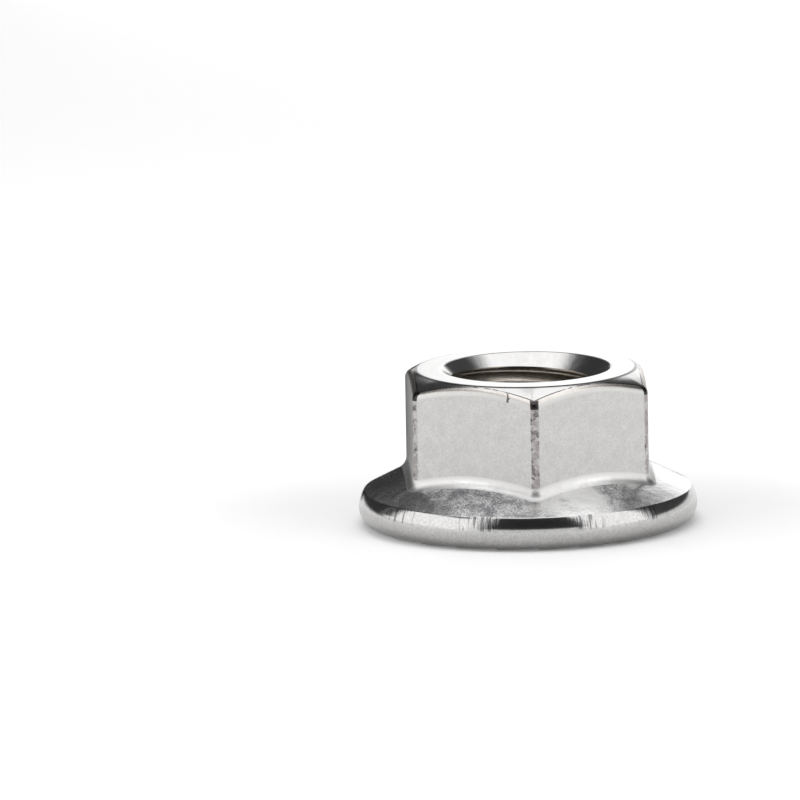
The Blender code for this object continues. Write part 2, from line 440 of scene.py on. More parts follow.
@dataclass
class NutSurface:
    """Sizes of the whole nut, in millimetres and radians, and the rows of its closed surface.

    The crown's cone bows out by crown_bow where it is corner_cone long, as at a corner. The
    outside has corner_columns columns on either side of each corner, a corner_step apart. The flat
    end faces stop a mouth_margin outside the countersinks, from where fans lead inwards. The lower
    fan is turned by fan_lag of the bore's columns, because the serrations' columns lag behind. On
    the ring the columns glide apart from even spacing, over ring_glide of its width.
    """

    height: float = 9.95
    apothem: float = 7.5
    corner_radius: float = 0.6
    ring_radius: float = 7.0
    roll_width: float = 0.08
    crown_slope: float = math.radians(29)
    crown_bow: float = 0.035
    corner_cone: float = 1.4
    crest_width: float = 0.34
    root_width: float = 0.50
    flange_radius: float = 10.796
    crease_height: float = 2.17
    crease_inset: float = 0.35
    crease_soft: float = 0.035
    widest_height: float = 1.10
    foot_round: float = 1.0
    flange_slope: float = math.radians(27)
    mouth_margin: float = 0.22
    ring_glide: float = 0.8
    corner_column: int = 2
    corner_columns: int = 12
    corner_step: float = math.radians(0.2)
    fan_lag: int = 14
    rows: Rows = Rows()
    teeth: FlangeSerrations = field(default_factory=FlangeSerrations)
    thread: Thread = field(default_factory=Thread)

    def __post_init__(self) -> None:
        """Lay out the columns of the outside, and find where the foot meets the serrations.

        The columns stand close together round each corner of the hexagon.
        """
        self.columns = self.teeth.count * self.teeth.columns
        from_first = np.arange(self.columns) - self.corner_column
        sector, near = self.columns // 6, self.corner_columns
        coarse = (math.pi / 3 - 2 * near * self.corner_step) / (sector - 2 * near)
        place = (from_first + sector / 2) % sector - sector / 2
        fine = np.clip(place, -near, near)
        self.from_corner = fine * self.corner_step + (place - fine) * coarse
        turn = np.floor((from_first + sector / 2) / sector) * math.pi / 3
        self.outside = turn + self.from_corner - math.pi / 2
        self.even = from_first * 2 * math.pi / self.columns - math.pi / 2
        self.foot = self.foot_reach(np.arange(self.teeth.columns)[None, :])

    def hexagon(self) -> tuple[np.ndarray, np.ndarray]:
        """Return the hexagon's radius in each column, and the angle from the radius to its normal.

        On a flat the radius is the apothem over the cosine of the azimuth from the flat's middle.
        Round a corner it is the far crossing of the ray with a circle of the corner's radius.
        """
        middle = (self.apothem - self.corner_radius) / math.cos(math.pi / 6)
        across = middle * np.sin(self.from_corner)
        round_reach = middle * np.cos(self.from_corner) + np.sqrt(
            np.clip(self.corner_radius**2 - across**2, 0, None)
        )
        from_flat = math.pi / 6 - np.abs(self.from_corner)
        flat_reach = self.apothem / np.cos(from_flat)
        edge = math.atan2(
            self.corner_radius * 0.5, middle + self.corner_radius * math.cos(math.pi / 6)
        )
        in_corner = np.abs(self.from_corner) < edge
        lean = np.where(
            in_corner,
            np.arcsin(np.clip(np.abs(across) / self.corner_radius, 0, 0.5)),
            from_flat,
        )
        return np.where(in_corner, round_reach, flat_reach), lean

    def rounding(
        self, reach: np.ndarray, level: np.ndarray, lean: np.ndarray, slope: float, width: float
    ) -> tuple[tuple[np.ndarray, np.ndarray], tuple[np.ndarray, np.ndarray], np.ndarray]:
        """Return where a rounding between a cone and the upright wall ends.

        Both ends lie the rounding's width from the edge, measured square to it. Along the wall
        that is the width times k, and along the cone the width times k over the cosine of the
        lean, with k the root of 1 + (tan slope * sin lean)^2.

        Args:
            reach: radius of the edge; not used.
            level: height of the edge; not used.
            lean: angle between the radius and the wall's normal.
            slope: slope of the cone below the horizontal.
            width: width of the rounding on either side.

        Returns:
            The steps (radius, height) from the edge to the arc's end on the cone on the side of
            falling radius, and to its end on the wall downwards, and the arc's weight.
        """
        k = np.sqrt(1 + (math.tan(slope) * np.sin(lean)) ** 2)
        along = width * k / np.cos(lean)
        turn = np.arccos(math.sin(slope) * np.cos(lean))
        on_cone = (-along * math.cos(slope), along * math.sin(slope))
        on_wall = (np.zeros_like(k), -width * k)
        return on_cone, on_wall, np.cos(turn / 2)

    def outside_bands(self) -> list[Band]:
        """Build the bands from the ring at the top down to the sharp crease of the flange."""
        turn, rows, slope = self.outside[None, :], self.rows, self.crown_slope
        reach, lean = self.hexagon()

        ease = np.linspace(0, 1, rows.ring)[:, None]
        inner = self.thread.top_radius + self.mouth_margin
        outer = self.ring_radius - self.roll_width
        azimuth = self.even + (turn - self.even) * smooth(0.0, self.ring_glide, ease)
        ring = Band.of(Region.RING, azimuth, inner + (outer - inner) * ease, self.height)

        cone_start = (
            self.ring_radius + self.roll_width * math.cos(slope),
            self.height - self.roll_width * math.sin(slope),
        )
        roll = Band.arc(
            Region.CROWN,
            turn,
            (outer, self.height),
            (self.ring_radius, self.height),
            cone_start,
            math.cos(slope / 2),
            rows.edge,
        )

        crest = self.height - (reach - self.ring_radius) * math.tan(slope)
        cone, wall, weight = self.rounding(reach, crest, lean, slope, self.crest_width)
        cone_end = (reach + cone[0], crest + cone[1])
        crown = Band.line(Region.CROWN, turn, cone_start, cone_end, rows.cone)
        share = np.array(rows.cone)[:, None]
        length = (cone_end[0] - cone_start[0]) / (self.corner_cone * math.cos(slope))
        bow = self.crown_bow * 4 * share * (1 - share) * length**2
        crown.radius += bow * math.sin(slope)
        crown.height += bow * math.cos(slope)
        wall_top = (reach + wall[0], crest + wall[1])
        rounded_crest = Band.arc(
            Region.CREST, turn, cone_end, (reach, crest), wall_top, weight, rows.crest
        )

        edge, crease = self.crease_ends()
        root = crease[1] + (crease[0] - reach) * math.tan(self.flange_slope)
        cone, wall, weight = self.rounding(reach, root, lean, self.flange_slope, self.root_width)
        wall_foot = (reach - wall[0], root - wall[1])
        cone_top = (reach - cone[0], root - cone[1])
        flats = Band.line(Region.FLATS, turn, wall_top, wall_foot, rows.flat)
        fillet = Band.arc(Region.ROOT, turn, wall_foot, (reach, root), cone_top, weight, rows.root)
        flange = Band.line(Region.FLANGE, turn, cone_top, edge, rows.flange)
        return [ring, roll, crown, rounded_crest, flats, fillet, flange]

    def crease_ends(self) -> tuple[Station, Station]:
        """Return where the crease's rounding starts on the cone, and the sharp crease itself."""
        crease = (self.flange_radius - self.crease_inset, self.crease_height)
        edge = (
            crease[0] - self.crease_soft * math.cos(self.flange_slope),
            crease[1] + self.crease_soft * math.sin(self.flange_slope),
        )
        return edge, crease

    def barrel(self) -> tuple[float, float]:
        """Return the radius of the rim's barrelled arc, and the angle at which it starts."""
        lift = self.crease_height - self.widest_height
        bow = (self.crease_inset**2 + lift**2) / (2 * self.crease_inset)
        return bow, math.atan2(lift, bow - self.crease_inset)

    def rim_bands(self) -> list[Band]:
        """Build the bands from the crease down the barrelled rim to the serrations' outer ends.

        The columns glide from the hexagon's spacing to the serrations' on the way down, which
        leaves the turned surface as it is.
        """
        bow, start = self.barrel()
        centre, rows = self.flange_radius - bow, self.rows
        edge, crease = self.crease_ends()
        step = self.crease_soft / bow
        below = (
            centre + bow * math.cos(start - step),
            self.widest_height + bow * math.sin(start - step),
        )
        turn = math.pi / 2 - start - self.flange_slope
        upper = Band.arc(
            Region.RIM,
            self.outside[None, :],
            edge,
            crease,
            below,
            math.cos(turn / 2),
            rows.edge,
        )

        angle = np.linspace(start - step, 0, rows.barrel)[:, None]
        radius = centre + bow * np.cos(angle)
        height = self.widest_height + bow * np.sin(angle)
        glide = smooth(0.0, 1.0, np.linspace(0, 1, rows.barrel)[:, None])
        target = self.tooth_azimuth(np.full((rows.barrel, 1), self.flange_radius))
        azimuth = self.outside + (target - self.outside) * glide
        barrel = Band.of(Region.RIM, azimuth, radius, height)

        share = (self.foot - self.teeth.bearing_radius) / self.foot_round
        fall = np.arccos(np.clip(share, 0, 1))
        angle = fall * np.linspace(0, 1, rows.foot)[:, None]
        radius = self.teeth.bearing_radius + self.foot_round * np.cos(angle)
        height = self.widest_height * (1 - np.sin(angle))
        foot = Band.of(
            Region.RIM,
            self.tooth_azimuth(radius),
            self.teeth.spread(radius, 0.0),
            self.teeth.spread(height, 0.0),
        )
        return [upper, barrel, foot]

    def tooth_azimuth(self, radius: np.ndarray) -> np.ndarray:
        """Return the azimuths of all columns along the serrations, for radii of one pitch."""
        column = np.arange(self.teeth.columns)[None, :]
        spread = np.broadcast_to(radius, (len(radius), self.teeth.columns))
        one = self.teeth.azimuth(spread, column)
        return self.teeth.spread(one, self.teeth.pitch) + self.teeth.phase

    def foot_reach(self, column: np.ndarray) -> np.ndarray:
        """Return the radius at which the serrations come out of the foot's rounding.

        The rounding rises from 0 at the bearing radius, so that halving an interval finds where
        it passes the pockets' height.
        """
        low = np.full(column.shape, self.teeth.bearing_radius)
        high = np.full(column.shape, self.flange_radius)
        for _ in range(HALVINGS):
            middle = (low + high) / 2
            share = (middle - self.teeth.bearing_radius) / self.foot_round
            rise = self.widest_height * (1 - np.sqrt(1 - share**2))
            under = rise < self.teeth.floor(middle, self.teeth.azimuth(middle, column))
            low, high = np.where(under, middle, low), np.where(under, high, middle)
        return (low + high) / 2

    def underside_bands(self) -> list[Band]:
        """Build the serrations and the plain ring inside them.

        The rows lie at even steps of the angle round a pocket's centre, so that the columns follow
        the round walls to their inner ends, where the walls run along the plain ring.
        """
        teeth = self.teeth
        reach, middle, arc = self.foot, teeth.centre_radius, teeth.arc_radius
        outer = np.arccos((middle**2 + arc**2 - reach**2) / (2 * middle * arc))
        angle = outer * (1 - np.linspace(0, 1, self.rows.teeth)[:, None])
        radius = np.sqrt(middle**2 + arc**2 - 2 * middle * arc * np.cos(angle))
        column = np.arange(teeth.columns)[None, :]
        one = teeth.azimuth(radius, column)
        height = teeth.floor(radius, one)
        serrated = Band.of(
            Region.TEETH,
            teeth.spread(one, teeth.pitch) + teeth.phase,
            teeth.spread(radius, 0.0),
            teeth.spread(height, 0.0),
        )

        # Close rows follow the walls' inner ends, and wider ones cross the plain ring
        wall = teeth.inner_depth / math.tan(teeth.wall_slope)
        inwards = np.array([0.0, wall * 0.5, wall, wall * 2, *self.rows.plain])
        inner = self.thread.bottom_radius + self.mouth_margin
        radius = np.append(teeth.ring_radius - inwards, inner)[:, None]
        ease = smooth(0.0, 1.0, np.linspace(0, 1, len(radius))[:, None])
        here = serrated.azimuth[-1:]
        lag = self.fan_lag * (self.columns // self.thread.columns)
        there = self.even - lag * 2 * math.pi / self.columns
        azimuth = here + (there - here) * ease
        local = azimuth - teeth.phase
        within = np.mod(local + teeth.sweep, teeth.pitch) - teeth.sweep
        height = teeth.floor(np.broadcast_to(radius, azimuth.shape), within)
        return [serrated, Band.of(Region.TEETH, azimuth, radius, height)]

    def end_rounding(self, upper: bool) -> Band:
        """Build the small rounding between an end face and its countersink.

        Args:
            upper: True for the top's, whose rows run up and out, False for the underside's, whose
                rows run in and up.

        Returns:
            The band, with the bore's columns.
        """
        soft = self.thread.edge_break
        azimuth = self.bore_azimuth()[None, :-1]
        if upper:
            region, mouth, level, depth = Region.RING, self.thread.top_radius, self.height, -soft
        else:
            region, mouth, level, depth = Region.TEETH, self.thread.bottom_radius, 0.0, soft
        ends = ((mouth + soft * math.sqrt(2), level), (mouth - soft, level + depth))
        start, end = reversed(ends) if upper else ends
        weight = math.cos(math.pi / 8)
        return Band.arc(region, azimuth, start, (mouth, level), end, weight, self.rows.mouth)

    def bore_azimuth(self) -> np.ndarray:
        """Return the bore's columns: every third of the even ones, and the first again."""
        every = self.columns // self.thread.columns
        azimuth = self.even[::every]
        return np.append(azimuth, azimuth[0] + 2 * math.pi)

    def assemble(self) -> tuple[np.ndarray, list[tuple[Region, np.ndarray]]]:
        """Join the bands into one surface.

        Returns:
            The points of all bands, and for each region the corners of its faces, as arrays with
            one row per face.
        """
        points: list[np.ndarray] = []
        faces: list[tuple[Region, np.ndarray]] = []
        ends: dict[str, np.ndarray] = {}

        def lay(name: str, band: Band, closed: bool = True) -> None:
            """Add a band's points and its grid of quads, and keep its end rows by name."""
            rows, columns = band.radius.shape
            index = np.arange(rows * columns).reshape(rows, columns) + sum(map(len, points))
            points.append(band.points().reshape(-1, 3))
            left, right = index, np.roll(index, -1, axis=1)
            if not closed:
                left, right = index[:, :-1], index[:, 1:]
            quads = np.stack((left[:-1], left[1:], right[1:], right[:-1]), axis=-1)
            faces.append((band.region, quads.reshape(-1, 4)))
            ends[name + "_first"], ends[name + "_last"] = index[0], index[-1]

        def part_bore(quads: np.ndarray) -> None:
            """Give the faces on a countersink's cone their own region.

            A quad with three corners on the cone is cut into two triangles, from the corner before
            the odd one to the corner after it, and only the far triangle is on the cone.
            """
            corner = np.concatenate(points)[quads]
            reach, level = np.hypot(corner[..., 0], corner[..., 1]), corner[..., 2]
            on_cone = reach - self.thread.cones(level, self.height) < ON_CONE
            count = on_cone.sum(axis=1)
            odd = np.argmin(on_cone, axis=1)[:, None]
            turned = np.take_along_axis(quads, (odd + np.arange(4)) % 4, axis=1)[count == 3]
            faces[-1] = (Region.THREAD, quads[count < 3])
            faces.append((Region.THREAD, turned[:, [0, 1, 3]]))
            faces.append((Region.COUNTERSINK, turned[:, 1:]))
            faces.append((Region.COUNTERSINK, quads[count == 4]))

        bands = {
            "outside": self.outside_bands(),
            "rim": self.rim_bands(),
            "underside": self.underside_bands(),
        }
        for part, its_bands in bands.items():
            for number, band in enumerate(its_bands):
                lay(f"{part}_{number}", band)
        lay("foot_rounding", self.end_rounding(False))
        lay("bore", self.thread.rows(self.height, self.bore_azimuth()), closed=False)
        part_bore(faces[-1][1])
        lay("top_rounding", self.end_rounding(True))

        fan = self.fan(ends["underside_1_last"], ends["foot_rounding_first"], self.fan_lag)
        faces.append((Region.TEETH, fan))
        fan = self.fan(ends["outside_0_first"], ends["top_rounding_last"], 0)
        faces.append((Region.RING, fan[:, ::-1]))
        return np.concatenate(points), faces

    @staticmethod
    def fan(wide: np.ndarray, narrow: np.ndarray, offset: int) -> np.ndarray:
        """Join a ring of many points to one of a third as many, with flat six-cornered faces.

        Args:
            wide: indices of the ring with more points.
            narrow: indices of the ring with fewer.
            offset: how many narrow columns the wide ring lags behind.

        Returns:
            The corners of each face, from the wide ring's side to the narrow ring's.
        """
        ratio = len(wide) // len(narrow)
        corner = np.arange(len(narrow)) * ratio
        wide_side = [wide[(corner + step) % len(wide)] for step in range(ratio, -1, -1)]
        low = np.roll(narrow, offset)
        return np.stack((*wide_side, low, np.roll(low, -1)), axis=-1)


class Signal:
    """A number that varies over a surface: an output socket, with Python's operators."""

    def __init__(self, shader: "Shader", socket: Socket) -> None:
        """Wrap a socket of a shader's tree."""
        self.shader = shader
        self.socket = socket

    def __add__(self, other: "Signal | float") -> "Signal":
        """Add."""
        return self.shader.math("ADD", self, other)

    __radd__ = __add__

    def __mul__(self, other: "Signal | float") -> "Signal":
        """Multiply."""
        return self.shader.math("MULTIPLY", self, other)

    __rmul__ = __mul__

    def __sub__(self, other: "Signal | float") -> "Signal":
        """Subtract."""
        return self.shader.math("SUBTRACT", self, other)

    def __rsub__(self, other: float) -> "Signal":
        """Subtract from a number."""
        return self.shader.math("SUBTRACT", other, self)

    def __truediv__(self, other: "Signal | float") -> "Signal":
        """Divide."""
        return self.shader.math("DIVIDE", self, other)

    def __rtruediv__(self, other: float) -> "Signal":
        """Divide a number."""
        return self.shader.math("DIVIDE", other, self)

    def between(self, low: float, high: float) -> "Signal":
        """Rise smoothly from 0 at one value to 1 at another."""
        node = self.shader.node(
            "ShaderNodeMapRange",
            {"interpolation_type": "SMOOTHSTEP"},
            {"Value": self, "From Min": low, "From Max": high},
        )
        return Signal(self.shader, node.outputs["Result"])


class Shader:
    """The node tree of one material or world, with short ways to add nodes."""

    def __init__(self, owner: "bpy.types.Material | bpy.types.World") -> None:
        """Empty the tree of a material or a world."""
        self.owner = owner
        owner.use_nodes = True
        self.tree = owner.node_tree
        self.tree.nodes.clear()

    @classmethod
    def named(cls, name: str) -> "Shader":
        """Start an empty material."""
        return cls(bpy.data.materials.new(name))

    def node(
        self,
        kind: str,
        settings: dict[str, object] | None = None,
        sockets: dict[str | int, object] | None = None,
    ) -> bpy.types.Node:
        """Add a node.

        Args:
            kind: the node's type.
            settings: its settings, set first.
            sockets: values or links for its inputs, by name or number.

        Returns:
            The node.
        """
        made = self.tree.nodes.new(kind)
        for name, value in (settings or {}).items():
            setattr(made, name, value)
        for key, value in (sockets or {}).items():
            socket = made.inputs[key]
            source = value.socket if isinstance(value, Signal) else value
            if isinstance(source, Socket):
                self.tree.links.new(source, socket)
            else:
                socket.default_value = source
        return made

    def math(self, operation: str, *values: "Signal | float") -> Signal:
        """Add a Math node on numbers and signals."""
        node = self.node("ShaderNodeMath", {"operation": operation}, dict(enumerate(values)))
        return Signal(self, node.outputs[0])

    def vector(self, x: Signal, y: Signal, z: Signal) -> Socket:
        """Combine three signals into a vector."""
        return self.node("ShaderNodeCombineXYZ", None, {0: x, 1: y, 2: z}).outputs[0]

    def place(self) -> "Place":
        """Return the object's own coordinates, in millimetres."""
        coordinates = self.node("ShaderNodeTexCoord").outputs["Object"]
        scaled = self.node(
            "ShaderNodeVectorMath", {"operation": "SCALE"}, {0: coordinates, "Scale": 1 / MM}
        ).outputs[0]
        split = self.node("ShaderNodeSeparateXYZ", None, {0: scaled})
        return Place(self, scaled, *(Signal(self, output) for output in split.outputs))

    def noise(self, vector: Socket, kind: "Noise") -> Signal:
        """Add a noise of about 0 to 1."""
        sockets = {"Scale": kind.scale, "Detail": kind.detail, "Roughness": kind.rough}
        node = self.node("ShaderNodeTexNoise", None, {"Vector": vector, **sockets})
        return Signal(self, node.outputs["Fac"])

    def sway(self, vector: Socket, kind: "Noise") -> Signal:
        """Add a noise about 0, which makes an edge ragged."""
        return self.noise(vector, kind) - 0.5

    def spots(self, vector: Socket, kind: "Spots") -> Signal:
        """Add a noise that is put through a smooth step, from 0 between the spots to 1 in them."""
        return self.noise(vector, kind).between(kind.low, kind.high)

    def blend(self, share: Signal, first: object, second: object) -> Socket:
        """Mix two colours by a share that goes from 0 for the first to 1 for the second."""

        def colour(value: object) -> object:
            """Add the alpha to a plain colour."""
            return (*value, 1.0) if isinstance(value, tuple) else value

        node = self.node(
            "ShaderNodeMix",
            {"data_type": "RGBA", "clamp_factor": True},
            {0: share, 6: colour(first), 7: colour(second)},
        )
        return node.outputs[2]

    def bump(self, height: Signal, distance: float, below: object = None) -> Socket:
        """Turn a height, in shares of a distance in millimetres, into a normal."""
        sockets = {"Height": height, "Distance": distance * MM, "Strength": 1.0}
        if below is not None:
            sockets["Normal"] = below
        return self.node("ShaderNodeBump", None, sockets).outputs[0]

    def surface(
        self, constants: dict[str, object], varying: dict[str, object]
    ) -> bpy.types.Material:
        """Finish the material with a Principled shader.

        Args:
            constants: values that are the same all over the surface.
            varying: signals and sockets that change over it.

        Returns:
            The finished material.
        """
        shader = self.node("ShaderNodeBsdfPrincipled", None, {**constants, **varying})
        self.node("ShaderNodeOutputMaterial", None, {"Surface": shader.outputs[0]})
        return self.owner

    def show(
        self, output: str, share: "Signal | Socket", first: bpy.types.Node, second: bpy.types.Node
    ) -> None:
        """Show a mix of two shaders.

        Args:
            output: the type of the node that the mix goes to.
            share: 0 for the first shader, 1 for the second.
            first: node of the first shader.
            second: node of the second shader.
        """
        sockets = {0: share, 1: first.outputs[0], 2: second.outputs[0]}
        both = self.node("ShaderNodeMixShader", None, sockets)
        self.node(output, None, {"Surface": both.outputs[0]})

    def seen(self) -> Signal:
        """Return 1 for the rays that show a surface: the camera's, and mirrored or bent ones."""
        path = self.node("ShaderNodeLightPath")
        camera, mirrored, bent = (
            Signal(self, path.outputs[f"Is {kind} Ray"])
            for kind in ("Camera", "Glossy", "Transmission")
        )
        return self.math("MAXIMUM", self.math("MAXIMUM", camera, mirrored), bent)


@dataclass(frozen=True)
class Noise:
    """A noise whose lumps are about 1 / scale millimetres wide."""

    scale: float
    detail: float = 3.0
    rough: float = 0.6


@dataclass(frozen=True)
class Spots(Noise):
    """The parts of a surface where a noise is high: none below low, whole above high."""

    low: float = 0.4
    high: float = 0.6


@dataclass(frozen=True)
class Place:
    """Where a point of the surface lies, in millimetres, as vectors and signals of a shader."""

    shader: Shader
    vector: Socket
    x: Signal
    y: Signal
    z: Signal
    core: ClassVar[float] = 0.55

    def radius(self) -> Signal:
        """Return the distance from the bore's axis."""
        return self.shader.math("SQRT", self.x * self.x + self.y * self.y)

    def hexagon(self) -> tuple[Signal, Signal]:
        """Return the distance from the axis to the nearest flat's line, and its lead.

        A flat pair's distance is the size of the point's component along the pair's normal. The
        largest of the three is the apothem all over a flat. Its lead over the second largest is
        zero at a corner.
        """
        shader, half, high = self.shader, 0.5, math.sqrt(3) / 2
        first = shader.math("ABSOLUTE", self.x)
        second = shader.math("ABSOLUTE", self.x * half + self.y * high)
        third = shader.math("ABSOLUTE", self.x * half - self.y * high)
        largest = shader.math("MAXIMUM", shader.math("MAXIMUM", first, second), third)
        smallest = shader.math("MINIMUM", shader.math("MINIMUM", first, second), third)
        middle = first + second + third - largest - smallest
        return largest, largest - middle

    def patches(
        self, sectors: tuple[tuple[float, float], ...], ragged: Signal, swing: float
    ) -> Signal:
        """Return 1 within sectors round the bore's axis, falling to 0 at their ragged ends.

        A point's place in a sector is the cosine of its azimuth from the sector's middle. The
        core is the share of a sector's width that is whole.

        Args:
            sectors: azimuth and half the width of each sector, in degrees.
            ragged: a noise about 0 that shifts the ends.
            swing: how far it shifts them, as a share of the sector's depth in cosine.

        Returns:
            The largest of the sectors' covers.
        """
        radius = self.radius()
        covers = []
        for middle, half in sectors:
            turn, width = math.radians(middle), math.radians(half)
            cosine = (self.x * math.cos(turn) + self.y * math.sin(turn)) / radius
            inside = cosine + ragged * ((1 - math.cos(width)) * swing)
            covers.append(inside.between(math.cos(width), math.cos(width * self.core)))
        return reduce(lambda one, other: self.shader.math("MAXIMUM", one, other), covers)


# Colour and roughness of a surface
Look = tuple[Socket, Signal]


@dataclass(frozen=True)
class SteelFinish:
    """Bright stainless steel with one kind of working marks.

    The marks are grains stretched along a direction, over slow waves that bend reflections. Clouds
    and the grain stain the colour, and specks and the grain vary the roughness.
    """

    name: str
    colour: Colour = (0.60, 0.595, 0.59)
    stain: Colour = (0.42, 0.41, 0.42)
    stain_amount: float = 0.3
    roughness: float = 0.2
    roughness_swing: float = 0.08
    grain: tuple[float, float, float] = (3.0, 3.0, 3.0)
    grain_depth: float = 0.0015
    wave_scale: float = 0.6
    wave_depth: float = 0.004
    turned: bool = False

    GRAIN: ClassVar[Noise] = Noise(1.0, 4.0, 0.6)
    WAVE_ROUGH: ClassVar[float] = 0.55
    SPECKS: ClassVar[Noise] = Noise(9.0, 3.0, 0.6)
    SPECKS_SHARE: ClassVar[float] = 0.5
    CLOUDS: ClassVar[Noise] = Noise(1.3, 4.0, 0.6)
    CLOUDS_SHARE: ClassVar[float] = 0.6
    STAIN_STEP: ClassVar[tuple[float, float]] = (0.35, 0.75)

    def grain_of(self, shader: Shader, place: Place) -> Signal:
        """Return the grain, a noise stretched along the axes or, if turned, round the bore."""
        along, across, up = self.grain
        if self.turned:
            radius = place.radius()
            stretched = shader.vector(
                place.x / radius * along,
                place.y / radius * along,
                place.z * up + radius * across,
            )
        else:
            stretched = shader.vector(place.x * along, place.y * across, place.z * up)
        return shader.noise(stretched, self.GRAIN)

    def touch(self, shader: Shader, place: Place, tint: Socket, roughness: Signal) -> Look:
        """Add the marks that only this finish has. Plain steel has none.

        Args:
            shader: the material's tree.
            place: where the point lies.
            tint: the steel's colour so far.
            roughness: its roughness so far.

        Returns:
            The colour and the roughness with the marks.
        """
        return tint, roughness

    def dress(self) -> bpy.types.Material:
        """Build the material."""
        shader = Shader.named(self.name)
        place = shader.place()
        grain = self.grain_of(shader, place)
        waves = shader.noise(place.vector, Noise(self.wave_scale, rough=self.WAVE_ROUGH))
        specks = shader.noise(place.vector, self.SPECKS) * self.SPECKS_SHARE
        clouds = shader.noise(place.vector, self.CLOUDS) * self.CLOUDS_SHARE
        stained = (clouds + grain * (1 - self.CLOUDS_SHARE)).between(*self.STAIN_STEP)
        tint = shader.blend(stained * self.stain_amount, self.colour, self.stain)
        mixed = specks + grain * (1 - self.SPECKS_SHARE) - 0.5
        swing = mixed * (2 * self.roughness_swing)
        tint, roughness = self.touch(shader, place, tint, self.roughness + swing)
        lower = shader.bump(waves, self.wave_depth)
        normal = shader.bump(grain, self.grain_depth, lower)
        return shader.surface(
            {"Metallic": 1.0},
            {"Base Color": tint, "Roughness": roughness, "Normal": normal},
        )


@dataclass(frozen=True)
class FlatsFinish(SteelFinish):
    """Satin steel of the spanner flats, with a strip of painted dark reflection down each corner.

    The strip is scuffed in places. Its edge is given as a lead, in millimetres, at which it
    starts and is gone.
    """

    speck: Colour = (0.47, 0.465, 0.455)
    speckle: Spots = Spots(9.0, 3.0, 0.8, low=0.42, high=0.62)
    speckle_share: float = 0.75
    # Colour of the painted dark reflection down each corner
    strip: Colour = (0.31, 0.285, 0.28)
    strip_edge: tuple[float, float] = (0.22, 0.30)
    strip_sway: float = 0.10
    strip_shine: float = 0.10
    ragged: Noise = Noise(5.0, 3.0, 0.6)
    scuffs: Spots = Spots(2.2, 4.0, 0.65, low=0.36, high=0.60)
    scuffs_share: float = 0.75
    pit: Colour = (0.10, 0.09, 0.09)
    pits: Spots = Spots(2.6, 4.0, 0.75, low=0.53, high=0.60)
    pits_share: float = 0.92

    def touch(self, shader: Shader, place: Place, tint: Socket, roughness: Signal) -> Look:
        """Speck the satin, paint a dark reflection down the corners, where the lead is small, and
        scuff and pit it in places.
        """
        _, lead = place.hexagon()
        speckle = shader.spots(place.vector, self.speckle) * self.speckle_share
        tint = shader.blend(speckle, tint, self.speck)
        # Painted dark reflection: a strip down each corner, broken up by the scuffs
        sway = shader.sway(place.vector, self.ragged) * self.strip_sway
        near = 1 - (lead + sway).between(*self.strip_edge)
        scuffs = shader.spots(place.vector, self.scuffs) * self.scuffs_share
        tint = shader.blend(near * (1 - self.scuffs_share + scuffs), tint, self.strip)
        pits = shader.spots(place.vector, self.pits) * self.pits_share
        tint = shader.blend(near * pits, tint, self.pit)
        return tint, roughness - near * self.strip_shine


@dataclass(frozen=True)
class CrownFinish(SteelFinish):
    """Bright formed steel of the crown, with a dark line where it meets the crest.

    The line is a painted dark reflection, at a distance from the axis along the nearest flat's
    normal. It is broken by gaps, but whole where the lead is small. A second dark edge, of painted
    shade, runs round the ring, at a radius.
    """

    # Colour of the painted dark reflection at the crest and of the painted shade round the ring
    line: Colour = (0.05, 0.045, 0.045)
    line_at: float = 7.155
    line_edge: tuple[float, float] = (0.0168, 0.0504)
    line_share: float = 0.95
    line_sway: float = 0.06
    ragged: Noise = Noise(4.0, 4.0, 0.7)
    kept: Spots = Spots(2.2, 3.0, 0.6, low=0.47, high=0.56)
    whole_lead: tuple[float, float] = (1.2, 2.6)
    ring_at: float = 7.01
    ring_edge: tuple[float, float] = (0.055, 0.165)
    ring_share: float = 0.85

    def touch(self, shader: Shader, place: Place, tint: Socket, roughness: Signal) -> Look:
        """Draw both lines, each dark within its edge's first value and gone past the second."""
        reach, lead = place.hexagon()
        # Painted dark reflection: a dark line along the crown's edge with the crest
        sway = shader.sway(place.vector, self.ragged) * self.line_sway
        off = shader.math("ABSOLUTE", reach - self.line_at + sway)
        whole = 1 - lead.between(*self.whole_lead)
        kept = shader.math("MAXIMUM", shader.spots(place.vector, self.kept), whole)
        crest_line_reflection = (1 - off.between(*self.line_edge)) * kept
        tint = shader.blend(crest_line_reflection * self.line_share, tint, self.line)
        # Painted shade: a dark edge round the ring, where it rolls over into the crown
        past = shader.math("ABSOLUTE", place.radius() - self.ring_at)
        ring_edge_shade = (1 - past.between(*self.ring_edge)) * self.ring_share
        return shader.blend(ring_edge_shade, tint, self.line), roughness


